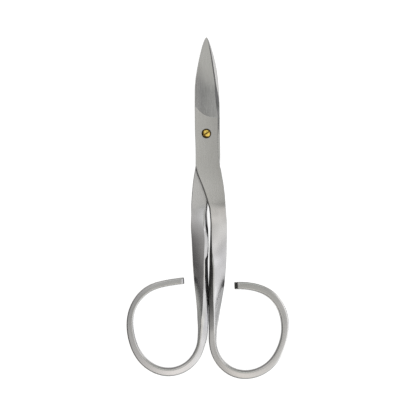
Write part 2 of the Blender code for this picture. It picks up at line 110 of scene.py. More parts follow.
REAR_STRIP = (
    (0.0, 4.95, 1.90, 2.0, 0.00, 0.08), (2.4, 4.68, 1.92, 10.0, 0.00, 0.09),
    (5.3, 4.83, 1.96, 19.0, 0.00, 0.06), (7.4, 5.09, 1.99, 23.6, 0.00, 0.19),
    (10.0, 5.14, 2.02, 28.5, 0.00, 0.24), (13.2, 5.02, 2.07, 32.1, 0.00, 0.18),
    (15.8, 4.53, 2.07, 35.0, 0.00, -0.06), (18.0, 4.52, 1.99, 37.5, 0.00, -0.10),
    (23.0, 4.27, 2.17, 44.2, 0.00, -0.06), (27.4, 3.78, 2.26, 50.8, 0.00, -0.01),
    (30.5, 3.42, 2.33, 56.0, 0.00, -0.01), (33.5, 3.05, 2.57, 62.0, 0.00, -0.01),
    (37.5, 2.40, 2.60, 71.0, 0.00, 0.00), (41.0, 2.35, 2.25, 77.0, 0.00, 0.00),
    (45.6, 2.50, 2.38, 79.6, 0.00, 0.06), (53.2, 2.50, 2.42, 81.7, 0.00, 0.21),
    (61.5, 2.50, 2.37, 83.0, 0.00, -0.05), (70.0, 2.50, 2.22, 83.6, 0.00, -0.26),
    (78.4, 2.50, 1.97, 84.1, 0.00, -0.07), (85.8, 2.50, 2.15, 84.4, 0.00, -0.02),
    (91.4, 2.50, 2.08, 84.7, 0.00, -0.14), (97.2, 2.50, 2.08, 85.0, 0.00, 0.07),
)
FRONT_STRIP = (
    (0.0, 4.95, 1.90, 1.0, 1.97, 0.00), (2.4, 4.86, 1.92, 4.0, 1.62, 0.08),
    (5.3, 4.86, 1.96, 9.0, 1.00, 0.16), (10.0, 4.89, 2.02, 16.0, 0.32, 0.12),
    (14.0, 5.00, 2.08, 25.5, 0.06, 0.11), (18.0, 4.82, 2.40, 35.0, 0.00, 0.17),
    (23.0, 4.68, 2.47, 43.8, 0.00, 0.16), (27.4, 4.21, 2.32, 50.8, 0.00, 0.11),
    (30.5, 3.56, 2.28, 56.0, 0.00, 0.15), (33.5, 3.10, 2.24, 62.0, 0.00, 0.26),
    (37.5, 2.40, 2.24, 71.0, 0.00, 0.28), (41.0, 2.35, 2.19, 77.0, 0.00, 0.10),
    (45.6, 2.50, 2.32, 79.6, 0.00, -0.01), (53.2, 2.50, 2.49, 81.7, 0.00, -0.15),
    (61.5, 2.50, 2.36, 83.0, 0.00, -0.18), (70.0, 2.50, 2.04, 83.6, 0.00, 0.14),
    (78.4, 2.50, 2.36, 84.1, 0.00, 0.12), (85.8, 2.50, 2.43, 84.4, 0.00, 0.22),
    (91.4, 2.50, 2.39, 84.7, 0.00, 0.34), (97.2, 2.50, 2.26, 85.0, 0.00, 0.26),
)
REAR_ARRIS = (
    (0.0, 0.50, 0.46, 1.0), (1.4, 0.92, 1.10, 1.1), (3.4, 1.05, 1.36, 1.2), (5.3, 0.92, 1.42, 0.9),
    (7.4, 0.76, 1.27, 0.0), (10.0, 0.62, 1.24, 0.0), (13.2, 0.58, 1.38, 0.0), (15.8, 0.20, 0.26, 0.0),
    (20.0, 0.20, 0.26, 0.0), (24.0, 0.19, 0.60, 0.1), (27.5, 0.18, 1.30, 0.0), (31.0, 0.20, 1.20, 0.1),
    (35.0, 0.40, 0.90, 0.8),
    (40.0, 0.50, 0.50, 1.0), (97.2, 0.50, 0.50, 1.0),
)
FRONT_ARRIS = (
    (0.0, 0.42, 0.33, 0.2), (5.0, 0.24, 0.21, 0.3), (8.5, 0.13, 0.11, 0.0), (13.0, 0.15, 0.11, 0.0),
    (17.0, 0.30, 0.19, 0.0), (33.0, 0.31, 0.18, 0.0), (38.0, 0.46, 0.46, 1.0), (97.2, 0.50, 0.50, 1.0),
)
OUTER_EDGE = ((0.0, 0.14), (6.0, 0.20), (14.0, 0.38), (20.0, 0.48), (97.2, 0.48))
REAR_LOWER_EDGE = (
    (0.0, 0.48, 0.48, 1.0), (1.2, 0.22, 0.22, 1.0), (5.0, 0.14, 0.14, 1.0), (5.9, 0.18, 0.20, 1.0),
    (7.4, 0.36, 0.69, 0.0),
    (10.0, 0.40, 0.73, 0.0), (13.2, 0.40, 0.64, 0.0), (15.4, 0.14, 0.14, 1.0), (20.0, 0.12, 0.12, 1.0), (24.0, 0.12, 0.12, 1.0),
    (27.0, 0.16, 0.16, 1.0), (29.5, 0.28, 0.28, 1.0), (32.0, 0.34, 0.34, 1.0), (34.5, 0.42, 0.42, 1.0),
    (36.0, 0.48, 0.48, 1.0),
    (97.2, 0.48, 0.48, 1.0),
)
FRONT_LOWER_EDGE = (
    (0.0, 0.48), (8.0, 0.32), (20.0, 0.20), (25.0, 0.18), (27.0, 0.20), (29.5, 0.30), (32.0, 0.36), (34.5, 0.43),
    (36.0, 0.48), (97.2, 0.48),
)
REAR_END = ((0.0, 0.80), (0.12, 0.50), (0.35, 0.27), (0.7, 0.09), (1.2, 0.0))
FRONT_END = ((0.0, 1.15), (0.15, 0.92), (0.55, 0.52), (0.95, 0.14), (1.2, 0.02), (1.4, 0.0))
REAR_START = (-2.10, -21.5, -91.3)
REAR_BENDS = (
    (0.0, -130), (11.2, -555), (22.3, -555), (29.0, 303), (33.6, 92), (39.2, 18.9),
    (45.7, 8.88), (53.2, 10.1), (61.5, 10.85), (70.0, 17.9), (78.4, 12.2),
    (85.8, 11.15), (91.4, 21.0), (97.0, -133),
)
FRONT_START = (3.20, -21.5, -85.5)
FRONT_BENDS = (
    (0.0, -75), (11.1, -244), (22.3, -238), (28.9, -154), (33.5, 165), (39.1, 17.7),
    (45.6, 9.36), (53.2, 9.44), (61.6, 11.6), (70.1, 16.8), (78.5, 13.6),
    (86.1, 10.05), (91.7, 14.9), (97.2, 57.5),
)
CORNER = 0.48
BLADE_CORNER = 0.28
UPPER_CORNER = 0.12
CROSSING_CHAMFER = (-9.3, -10.4)
INNER_CORNER = 0.07
SKIN = 0.02  # how far the strip's surface stays inside the construction's flat facets
# distance along the strip and how far its broad and narrow faces swell
CROWN = (
    (0.0, 0.00, 0.00), (4.0, 0.05, 0.01), (10.0, 0.12, 0.01), (24.0, 0.14, 0.01),
    (33.0, 0.10, 0.01), (41.0, 0.05, 0.01), (97.2, 0.04, 0.01),
)

HEAD_RADIUS = 1.25
HEAD_RIM_Z = 3.62
HEAD_TOP_Z = 4.22
SLOT_WIDTH = 0.36
SLOT_DEPTH = 0.38
SLOT_ANGLE = 33.0
NECK_RADIUS = 0.88
TAIL_RADIUS = 1.18
RUNNING_GAP = 0.08
TAIL_GAP = 0.15
COUNTERBORE_RADIUS = 1.39
COUNTERBORE_FLOOR_Z = 3.0

# --------------------------------------------------------------- resolution
CORNER_STEPS = 6
FACE_POINTS = 14
SIDE_POINTS = 5
NOMINAL_LINE = 5.9

# the last four finishes paint shade and light into the steel's colour
SATIN, GROUND, BEVELLED, INNER, EASED, BORE, PAINTED_SHADE, GAP_SHADE, RIM_LIGHT_AND_SHADE, WALL_LIGHT_AND_SHADE = range(10)


def even_curve(rows, at, column=1):
    """A smooth curve through a table's rows that doesn't overshoot them."""
    table = np.array(sorted(rows), float)
    x, y = table[:, 0], table[:, column]
    h = np.diff(x)
    slope = np.diff(y) / h
    m = np.zeros(len(x))
    m[0], m[-1] = slope[0], slope[-1]
    for i in range(1, len(x) - 1):
        if slope[i - 1] * slope[i] > 0:
            a, b = 2 * h[i] + h[i - 1], h[i] + 2 * h[i - 1]
            m[i] = (a + b) / (a / slope[i - 1] + b / slope[i])
    at = np.clip(at, x[0], x[-1])
    i = np.clip(np.searchsorted(x, at) - 1, 0, len(x) - 2)
    t = (at - x[i]) / h[i]
    return float(
        y[i] * (1 + 2 * t) * (1 - t) ** 2
        + m[i] * h[i] * t * (1 - t) ** 2
        + y[i + 1] * t * t * (3 - 2 * t)
        + m[i + 1] * h[i] * t * t * (t - 1)
    )


def bent_path(start, bends, side, steps=4000):
    """The strip's centre line: arc length, x, y and heading at even steps."""
    stations = np.array([row[0] for row in bends], float)
    bend = np.array([side / row[1] for row in bends], float)
    s = np.linspace(0, stations[-1], steps)
    k = np.interp(s, stations, bend)
    step = s[1] - s[0]
    heading = math.radians(start[2]) + np.concatenate([[0], np.cumsum((k[1:] + k[:-1]) / 2 * step)])
    middle = (heading[1:] + heading[:-1]) / 2
    x = start[0] + np.concatenate([[0], np.cumsum(np.cos(middle) * step)])
    y = start[1] + np.concatenate([[0], np.cumsum(np.sin(middle) * step)])
    return s, x, y, heading


def run_out(u):
    """Distance above the pivot of the line where the ground face ends; u runs from spine to edge."""
    return GRIND_LOW + GRIND_RISE * (1 - min(max(u, 0.0), 1.0)) ** 2.6


def fall(past, column):
    """How far the ground face has fallen at a distance past its run-out line."""
    at = np.linspace(0, past, 60)
    slope = np.interp(at, [row[0] for row in GRIND_SLOPE], [row[column] for row in GRIND_SLOPE])
    return float(np.sum((slope[1:] + slope[:-1]) / 2) * (at[1] - at[0]))


def blade_thickness(u, y, lip=0.0):
    """Thickness at u across the blade, from spine (0) to cutting edge (1)."""
    past = y - run_out(u)
    if past <= 0:
        return HALF_THICKNESS + lip * math.exp(max(past / LIP_RUN, -30.0))
    u = min(max(u, 0.0), 1.0)
    step = GRIND_STEP * min(past / GRIND_STEP_RUN, 1.0)
    return HALF_THICKNESS + lip - step - (1 - u) * fall(past, 1) - u * fall(past, 2)


def ring_points(left, right, top, bottom, corners, crown=(0.0, 0.0)):
    """A closed section, clockwise from its left side: (u, across, up, zone of the face that follows)."""
    width = right - left
    points = []

    def corner(u0, sign_a, size, height, sign_z, first, last, after):
        rx, rz, roundness = size
        a0 = left + u0 * width + sign_a * rx
        z0 = height((a0 - left) / width) + sign_z * rz
        ends = [(math.cos(math.radians(e)), math.sin(math.radians(e))) for e in (first, last)]
        for i in range(CORNER_STEPS + 1):
            t = i / CORNER_STEPS
            angle = math.radians(first + (last - first) * t)
            ca, cz = (
                roundness * arc + (1 - roundness) * ((1 - t) * one + t * two)
                for arc, one, two in zip((math.cos(angle), math.sin(angle)), *ends)
            )
            a = a0 + rx * ca
            points.append(((a - left) / width, a, z0 + rz * cz, "corner" if i < CORNER_STEPS else after))

    def between(r_from, r_to, height, forward, swell, zone):
        u0, u1 = (r_from / width, 1 - r_to / width) if forward else (1 - r_from / width, r_to / width)
        for i in range(1, FACE_POINTS + 1):
            t = i / (FACE_POINTS + 1)
            u = u0 + (u1 - u0) * t
            points.append((u, left + u * width, height(u) + swell * 4 * t * (1 - t), zone))

    broad, narrow = crown
    tl, tr, br, bl = ((c, c, 1.0) if isinstance(c, float) else c for c in corners)
    corner(0, 1, tl, top, -1, 180, 90, "top")
    between(tl[0], tr[0], top, True, broad, "top")
    corner(1, -1, tr, top, -1, 90, 0, "right")
    start = points[-1]
    a_end = right
    z_end = bottom(1 - br[0] / width) + br[1]
    for i in range(1, SIDE_POINTS + 1):
        t = i / (SIDE_POINTS + 1)
        points.append((1.0, a_end + narrow * 4 * t * (1 - t), start[2] + (z_end - start[2]) * t, "right"))
    corner(1, -1, br, bottom, 1, 0, -90, "bottom")
    between(br[0], bl[0], bottom, False, 0.0, "bottom")
    corner(0, 1, bl, bottom, 1, -90, -180, "left")
    start = points[-1]
    z_end = top(tl[0] / width) - tl[1]
    for i in range(1, SIDE_POINTS + 1):
        t = i / (SIDE_POINTS + 1)
        points.append((0.0, left - narrow * 4 * t * (1 - t), start[2] + (z_end - start[2]) * t, "left"))
    return points


def blade_rows():
    """Nominal distances above the pivot of the sections from tip to crossing, and which are creases."""
    tip = TIP_Y - np.array([0.0, 0.05, 0.12, 0.22, 0.35, 0.55, 0.8, 1.1, 1.5, 1.9, 2.4, 3.0])
    blade = np.linspace(TIP_Y - 3.8, 8.9, 34)
    heel = NOMINAL_LINE + np.array(
        [2.5, 2.0, 1.5, 1.1, 0.7, 0.45, GRIND_STEP_RUN + 0.06, GRIND_STEP_RUN, 0.0, -0.05, -0.12, -0.25, -0.45, -0.7, -1.0]
    )
    flat = np.concatenate([[4.5, 4.0, 3.4, 2.8, 2.0], np.linspace(1.0, -8.2, 9)])
    return np.concatenate([tip, blade, heel, flat])


def half(front):
    """Rings of one half, tip to loop end: (points with grain coordinates and zones, part of the half, crease)."""
    side = 1 if front else -1
    rings = []
    for y0 in blade_rows():
        pull = max(1 - abs(y0 - NOMINAL_LINE) / (9.0 if y0 > NOMINAL_LINE else 4.5), 0.0)

        def y_at(u):
            return y0 + pull * (run_out(u) - NOMINAL_LINE)

        spine = even_curve(FRONT_SPINE if front else REAR_SPINE, y_at(0.0))
        edge = even_curve(FRONT_EDGE if front else REAR_EDGE, y_at(1.0))
        thin = min(1.0, (spine + edge) / 2.4)
        corner = BLADE_CORNER * thin
        bevel = min(even_curve(BEVEL, y_at(1.0)), 0.35 * (spine + edge))
        bevel_u = 1 - bevel / (spine + edge)
        thick = blade_thickness(bevel_u, y_at(bevel_u), LIP if front else 0.0)
        deep = min(thick - EDGE_THICKNESS, BEVEL_FALL * bevel)
        upper = UPPER_CORNER * thin
        edge_corner = (bevel, deep, 0.0) if front else (max(bevel, corner), max(deep, corner), 0.0)
        inner = min(INNER_CORNER, 0.3 * (thick - deep)) * thin
        spine_inner = INNER_CORNER * thin
        part = "blade" if y0 > NOMINAL_LINE + 1e-6 else "flat"
        crease = abs(y0 - NOMINAL_LINE) < 1e-6 or abs(y0 - NOMINAL_LINE - GRIND_STEP_RUN) < 1e-6
        if front:
            points = ring_points(
                -spine, edge,
                lambda u: FRONT_BOTTOM + blade_thickness(u, y_at(u), LIP),
                lambda u: FRONT_BOTTOM,
                ((upper * 1.3, upper, 1.0), edge_corner, inner, spine_inner),
            )
            rings.append(([((a, y_at(u), z), (a, y_at(u), z), zone) for u, a, z, zone in points], part, crease))
        else:
            ease = min(even_curve(INNER_EASE, y_at(0.0)), 0.45 * (spine + edge))
            spare = blade_thickness(0.0, y_at(0.0)) - corner - 0.02
            drop = min(max(INNER_EASE_DROP * ease, 0.04), spare)
            points = ring_points(
                -edge, spine,
                lambda u: REAR_TOP,
                lambda u: REAR_TOP - blade_thickness(1 - u, y_at(1 - u)),
                (inner, (ease, drop, INNER_EASE_ROUND), (corner * 1.6, corner, 1.0), edge_corner),
            )
            rings.append(([((a, y_at(1 - u), z), (a, y_at(1 - u), z), zone) for u, a, z, zone in points], part, crease))

    neck = FRONT_NECK if front else REAR_NECK
    bottom, top = (FRONT_BOTTOM, FRONT_TOP) if front else (0.0, REAR_TOP)
    for y0 in np.linspace(-9.3, -20.6, 24):
        far = (y0 + 9.3) / (-21.5 + 9.3)
        outer = BLADE_CORNER + (CORNER - BLADE_CORNER) * far
        inner = INNER_CORNER + (CORNER - INNER_CORNER) * far
        upper = UPPER_CORNER + (OUTER_EDGE[0][1] - UPPER_CORNER) * far
        grown = min((y0 - CROSSING_CHAMFER[0]) / (CROSSING_CHAMFER[1] - CROSSING_CHAMFER[0]), 1.0)
        arris = UPPER_CORNER + (FRONT_ARRIS[0][1] - UPPER_CORNER) * grown
        arris = (arris, arris * (1 - 0.22 * grown), 1 - 0.8 * grown)
        corners = (arris, (0.7 * upper, 1.3 * upper, 0.0), inner, inner) if front else ((1.2 * upper, upper, 0.0), inner, outer, outer)
        points = ring_points(
            even_curve(neck, y0, 1), even_curve(neck, y0, 2), lambda u: top, lambda u: bottom, corners
        )
        rings.append(([((a, y0, z), (a, y0, z), zone) for u, a, z, zone in points], "neck", False))

    s, x, y, heading = bent_path(FRONT_START if front else REAR_START, FRONT_BENDS if front else REAR_BENDS, side)
    end = s[-1]
    shank = np.linspace(0.3, 33.0, 66)
    loop = np.linspace(33.6, end - 1.5, 128)
    last = end - np.concatenate([np.linspace(1.4, 0.15, 14), [0.11, 0.07, 0.03, 0.0]])
    strip = FRONT_STRIP if front else REAR_STRIP
    for at in np.concatenate([shank, loop, last]):
        width, thick, twist, under, shift = (even_curve(strip, at, c) for c in (1, 2, 3, 4, 5))
        broad, narrow = even_curve(CROWN, at, 1), even_curve(CROWN, at, 2)
        # the free end is cut down from its raised edge, and a little from below
        over = even_curve(FRONT_END if front else REAR_END, end - at)
        thick -= 2 * SKIN + 0.2 * min(max(1 - (end - at) / 0.12, 0.0), 1.0) ** 2
        under += 0.3 * over + SKIN
        left, right = (over - width / 2, width / 2 - 0.3 * over) if front else (0.3 * over - width / 2, width / 2 - over)
        left, right = left + SKIN, right - SKIN
        corner = min(CORNER, thick * 0.25, (right - left) * 0.3)
        edge = min(even_curve(OUTER_EDGE, at), corner)
        raised = FRONT_ARRIS if front else REAR_ARRIS
        arris = (
            min(even_curve(raised, at), (right - left) * 0.3),
            min(even_curve(raised, at, 2), thick * (0.24 if at > 40 else 0.75)),
            even_curve(raised, at, 3),
        )
        if front:
            lower = min(float(even_curve(FRONT_LOWER_EDGE, at)), corner)
        else:
            most = corner if at > 20 else thick * 0.4
            lower = (*(min(even_curve(REAR_LOWER_EDGE, at, c), most) for c in (1, 2)), even_curve(REAR_LOWER_EDGE, at, 3))
        points = ring_points(
            left + narrow, right - narrow,
            lambda u: thick / 2 - broad, lambda u: -thick / 2,
            (arris, edge, corner, lower) if front else (edge, arris, lower, corner), (broad, narrow),
        )
        # the top face turns outwards: to the left on the rear half, to the right on the front one
        angle = math.radians(-side * twist)
        c, sn = math.cos(angle), math.sin(angle)
        turned = [(a * c - z * sn, a * sn + z * c) for u, a, z, zone in points]
        low = min(z for a, z in turned)
        i = np.interp(at, s, np.arange(len(s)))
        px, py, ph = (np.interp(i, np.arange(len(s)), v) for v in (x, y, heading))
        settle = min(at / 8.0, 1.0)
        across = -math.pi / 2 + (ph + math.pi / 2) * settle
        nx, ny = -math.sin(across), math.cos(across)
        rings.append((
            [
                ((px + (a + shift) * nx, py + (a + shift) * ny, z - low + under), (point[1], -21.5 - at, point[2]), point[3])
                for (a, z), point in zip(turned, points)
            ],
            "strip",
            False,
        ))
    return rings


def finish_of(part, zone, front):
    """Which finish a face has, by the part of the half and the side of the section it is on."""
    inner_side = "bottom" if front else "top"
    outer_side = "top" if front else "bottom"
    if part in ("blade", "flat") and zone == inner_side:
        return INNER
    if part == "blade" and zone == outer_side:
        return GROUND
    if zone == "corner":
        return EASED
    return SATIN


def half_mesh(name, front):
    """A half's mesh in the world frame, with its finishes, grain coordinates and creases."""
    rings = half(front)
    bm = bmesh.new()
    grain = bm.verts.layers.float_vector.new("grain")
    crease = bm.verts.layers.float.new("crease_row")
    rows = []
    for ring, part, is_crease in rings:
        row = []
        for (px, py, pz), along, zone in ring:
            v = bm.verts.new(((px + PIVOT_X) * MM, (py + PIVOT_Y) * MM, pz * MM))
            v[grain] = Vector(along)
            v[crease] = 1.0 if is_crease else 0.0
            row.append(v)
        rows.append(row)
    count = len(rows[0])
    for r in range(len(rows) - 1):
        part = rings[r][1]
        for i in range(count):
            j = (i + 1) % count
            face = bm.faces.new((rows[r][i], rows[r][j], rows[r + 1][j], rows[r + 1][i]))
            zone = rings[r][0][i][2]
            finish = finish_of(part, zone, front)
            if part in ("blade", "flat") and zone == "corner":
                # the corner on the cutting side is the edge bevel
                n = CORNER_STEPS + 1
                first = n + FACE_POINTS if front else 3 * n + 2 * FACE_POINTS + SIDE_POINTS
                if first <= i < first + CORNER_STEPS:
                    finish = BEVELLED
            if part == "strip":
                # painted shade on the narrow sides that face each other, most of all low down, where the other half
                # keeps the light out
                at = -21.5 - rings[r][0][i][1][1]
                n = CORNER_STEPS + 1
                low = 3 * n + 2 * FACE_POINTS + SIDE_POINTS if front else 2 * n + FACE_POINTS + SIDE_POINTS
                if 13.0 < at < 34.0 and low <= i < low + CORNER_STEPS:
                    finish = GAP_SHADE
                if front and at < 17.0 and (zone == "left" or low <= i < low + CORNER_STEPS or i < CORNER_STEPS):
                    finish = PAINTED_SHADE
                # painted shade on the outer edge of the rear loop and painted light on the front one's, and on the rear
                # half painted light and shade on the face of the shank that turns outwards
                if at > 58.0 and low <= i < low + CORNER_STEPS:
                    finish = RIM_LIGHT_AND_SHADE
                if not front and 19.0 < at < 36.5 and zone == "top":
                    finish = WALL_LIGHT_AND_SHADE
            face.material_index = finish
            face.smooth = True
    for row, flip in ((rows[0], True), (rows[-1], False)):
        centre = bm.verts.new(sum((v.co for v in row), Vector()) / count)
        centre[grain] = sum((v[grain] for v in row), Vector()) / count
        for i in range(count):
            face = bm.faces.new((row[i], row[(i + 1) % count], centre))
            face.material_index = SATIN
            face.smooth = True
    bmesh.ops.recalc_face_normals(bm, faces=bm.faces)
    mesh = bpy.data.meshes.new(name)
    bm.to_mesh(mesh)
    bm.free()
    return mesh


def object_of(name, mesh):
    thing = bpy.data.objects.new(name, mesh)
    bpy.context.scene.collection.objects.link(thing)
    return thing


def turned_mesh(name, profile, steps=96, finish=0):
    """A body turned about the pivot axis, in the world frame."""
    bm = bmesh.new()
    path = [bm.verts.new((r * MM, 0, z * MM)) for r, z in profile]
    edges = [bm.edges.new(pair) for pair in zip(path, path[1:])]
    bmesh.ops.spin(
        bm, geom=path + edges, cent=(0, 0, 0), axis=(0, 0, 1), angle=2 * math.pi, steps=steps, use_merge=True,
    )
    bmesh.ops.remove_doubles(bm, verts=bm.verts, dist=1e-7)
    bmesh.ops.recalc_face_normals(bm, faces=bm.faces)
    bmesh.ops.translate(bm, verts=bm.verts, vec=(PIVOT_X * MM, PIVOT_Y * MM, 0))
    for face in bm.faces:
        face.material_index = finish
        face.smooth = True
    mesh = bpy.data.meshes.new(name)
    bm.to_mesh(mesh)
    bm.free()
    return mesh


def cut(target, tools):
    """Cuts the tools from target for good, and removes them."""
    for tool in tools:
        step = target.modifiers.new("cut", "BOOLEAN")
        step.operation = "DIFFERENCE"
        step.solver = "EXACT"
        step.object = tool
    bpy.context.view_layer.update()
    graph = bpy.context.evaluated_depsgraph_get()
    done = bpy.data.meshes.new_from_object(target.evaluated_get(graph))
    target.modifiers.clear()
    old, target.data = target.data, done
    bpy.data.meshes.remove(old)
    for tool in tools:
        mesh = tool.data
        bpy.data.objects.remove(tool, do_unlink=True)
        bpy.data.meshes.remove(mesh)


def mark_creases(mesh, degrees):
    """Sharp edges where the faces turn past an angle, and along crease rows."""
    bm = bmesh.new()
    bm.from_mesh(mesh)
    crease = bm.verts.layers.float.get("crease_row")
    limit = math.radians(degrees)
    for edge in bm.edges:
        sharp = len(edge.link_faces) == 2 and edge.calc_face_angle(0.0) > limit
        if crease and edge.verts[0][crease] > 0.9 and edge.verts[1][crease] > 0.9:
            sharp = True
        edge.smooth = not sharp
    for face in bm.faces:
        face.smooth = True
    bm.to_mesh(mesh)
    bm.free()


# ---------------------------------------------------------------- materials
class Paint:
    """A few lines that make a node material shorter to write."""

    def __init__(self, name):
        self.material = bpy.data.materials.new(name)
        self.material.use_nodes = True
        self.tree = self.material.node_tree
        self.shader = self.tree.nodes["Principled BSDF"]

    def node(self, kind, **settings):
        made = self.tree.nodes.new(kind)
        for key, value in settings.items():
            setattr(made, key, value)
        return made

    def link(self, one, two):
        self.tree.links.new(one, two)

    def grain_noise(self, scale, detail=2.0, roughness=0.5, size=1.0):
        """Noise drawn out along the length of the steel; scale is per millimetre."""
        where = self.node("ShaderNodeAttribute", attribute_name="grain")
        mapping = self.node("ShaderNodeMapping")
        mapping.inputs["Scale"].default_value = scale
        noise = self.node("ShaderNodeTexNoise")
        noise.inputs["Scale"].default_value = size
        noise.inputs["Detail"].default_value = detail
        noise.inputs["Roughness"].default_value = roughness
        self.link(where.outputs["Vector"], mapping.inputs["Vector"])
        self.link(mapping.outputs["Vector"], noise.inputs["Vector"])
        return noise.outputs["Fac"]

    def cloud_noise(self, per_mm, detail=2.0):
        """Even noise in the piece's own space."""
        where = self.node("ShaderNodeTexCoord")
        noise = self.node("ShaderNodeTexNoise")
        noise.inputs["Scale"].default_value = per_mm * 1000
        noise.inputs["Detail"].default_value = detail
        self.link(where.outputs["Object"], noise.inputs["Vector"])
        return noise.outputs["Fac"]

    def spread(self, value, low, high, at_low=0.3, at_high=0.7):
        turn = self.node("ShaderNodeMapRange")
        turn.inputs["From Min"].default_value = at_low
        turn.inputs["From Max"].default_value = at_high
        turn.inputs["To Min"].default_value = low
        turn.inputs["To Max"].default_value = high
        self.link(value, turn.inputs["Value"])
        return turn.outputs["Result"]

    def mix_colour(self, value, one, two):
        mix = self.node("ShaderNodeMix", data_type="RGBA")
        mix.inputs["A"].default_value = (*one, 1)
        mix.inputs["B"].default_value = (*two, 1)
        self.link(value, mix.inputs["Factor"])
        for socket in mix.outputs:
            if socket.type == "RGBA":
                return socket

    def math(self, operation, one, two):
        step = self.node("ShaderNodeMath", operation=operation)
        for socket, value in zip(step.inputs, (one, two)):
            if isinstance(value, (int, float)):
                socket.default_value = value
            else:
                self.link(value, socket)
        return step.outputs[0]

    def paint_light_and_shade_along(self, colour, rows, across):
        """Painted light and shade: the colour times a share that changes smoothly with the distance along the steel."""
        where = self.node("ShaderNodeAttribute", attribute_name="grain")
        split = self.node("ShaderNodeSeparateXYZ")
        self.link(where.outputs["Vector"], split.inputs["Vector"])

        def curve(rows):
            value = rows[0][1]
            for (y0, one), (y1, two) in zip(rows, rows[1:]):
                turn = self.node("ShaderNodeMapRange", interpolation_type="SMOOTHSTEP")
                turn.inputs["From Min"].default_value = y0
                turn.inputs["From Max"].default_value = y1
                turn.inputs["To Min"].default_value = 0.0
                turn.inputs["To Max"].default_value = two - one
                self.link(split.outputs["Y"], turn.inputs["Value"])
                value = self.math("ADD", value, turn.outputs["Result"])
            return value

        slope = curve(across) if isinstance(across, tuple) else across
        share = self.math("ADD", self.math("MULTIPLY", split.outputs["X"], slope), curve(rows))
        scaled = self.node("ShaderNodeVectorMath", operation="SCALE")
        self.link(colour, scaled.inputs[0])
        self.link(share, scaled.inputs["Scale"])
        return scaled.outputs["Vector"]

    def bump(self, height, strength, distance, below=None):
        made = self.node("ShaderNodeBump")
        made.inputs["Strength"].default_value = strength
        made.inputs["Distance"].default_value = distance
        self.link(height, made.inputs["Height"])
        if below is not None:
            self.link(below, made.inputs["Normal"])
        return made.outputs["Normal"]


def steel(name, dark, light, rough, spread, lines, depth, along=(), across=0.0):
    """Brushed steel: fine lines along the length, faint smudges, and a roughness that varies with both.

    along lists distances above the pivot with the share of the colour that is left there,
    and across is what each millimetre to +X adds to that share, one value or a list like along; both paint light and
    shade into the colour.
    """
    paint = Paint(name)
    shader = paint.shader
    shader.inputs["Metallic"].default_value = 1.0
    brush = paint.grain_noise((lines, lines * 0.022, lines), detail=3.0, roughness=0.6)
    coarse = paint.grain_noise((lines * 0.22, lines * 0.012, lines * 0.22), detail=2.0)
    cloud = paint.cloud_noise(0.22, 3.0)
    mixed = paint.math("ADD", paint.math("MULTIPLY", brush, 0.55), paint.math("MULTIPLY", coarse, 0.25))
    mixed = paint.math("ADD", mixed, paint.math("MULTIPLY", cloud, 0.20))
    colour = paint.mix_colour(paint.spread(mixed, 0.0, 1.0, 0.36, 0.64), dark, light)
    # painted light and shade: the colour is scaled along and across the steel
    if along:
        colour = paint.paint_light_and_shade_along(colour, along, across)
    paint.link(colour, shader.inputs["Base Color"])
    paint.link(paint.spread(mixed, rough - spread, rough + spread, 0.36, 0.64), shader.inputs["Roughness"])
    paint.link(paint.bump(mixed, 0.25, depth * MM), shader.inputs["Normal"])
    return paint.material


REAR_SATIN = ((0.595, 0.593, 0.601), (0.67, 0.668, 0.677), 0.26, 0.04, 9.0, 0.012)
FRONT_SATIN = ((0.597, 0.594, 0.589), (0.673, 0.669, 0.664), 0.26, 0.04, 9.0, 0.012)
EASED_EDGE = ((0.62, 0.62, 0.61), (0.70, 0.70, 0.69), 0.24, 0.04, 9.0, 0.006)
# painted light and shade: lighter from 16 to 22 mm below the pivot, a little darker round it
PAINTED_LIGHT_AND_SHADE_BY_THE_PIVOT = ((-27.0, 1.0), (-22.0, 1.07), (-16.5, 1.09), (-9.0, 0.98), (4.0, 0.98))
shared = [
    steel("ground_steel", (0.605, 0.602, 0.602), (0.685, 0.682, 0.682), 0.21, 0.04, 12.0, 0.010),
    # the bevel's colour drops to 0.6 from 0.5 to 4.2 mm above the pivot: painted shade at the heel of the edge
    steel("bevel_steel_and_painted_shade", (0.50, 0.50, 0.50), (0.58, 0.58, 0.58), 0.20, 0.04, 14.0, 0.008,
          ((-1.5, 1.0), (0.5, 0.6), (4.2, 0.6), (5.2, 1.0))),
    steel("inner_steel", (0.66, 0.66, 0.66), (0.76, 0.76, 0.76), 0.24, 0.05, 12.0, 0.010),
    steel("eased_steel", *EASED_EDGE),
    steel("bore_steel", (0.30, 0.30, 0.30), (0.42, 0.42, 0.41), 0.38, 0.06, 8.0, 0.010),
    # painted shade: the front half's inner narrow side near the crossing darkens to a fifth of its colour
    steel("painted_shade_steel", (0.56, 0.56, 0.55), (0.64, 0.64, 0.63), 0.30, 0.05, 9.0, 0.010,
          ((-37.5, 1.0), (-35.5, 0.30), (-31.0, 0.20), (-24.5, 0.85))),
    # painted shade: a near-black colour on the low corners of the shanks where they face each other
    steel("gap_shade_steel", (0.10, 0.10, 0.10), (0.16, 0.16, 0.155), 0.36, 0.06, 8.0, 0.010),
]
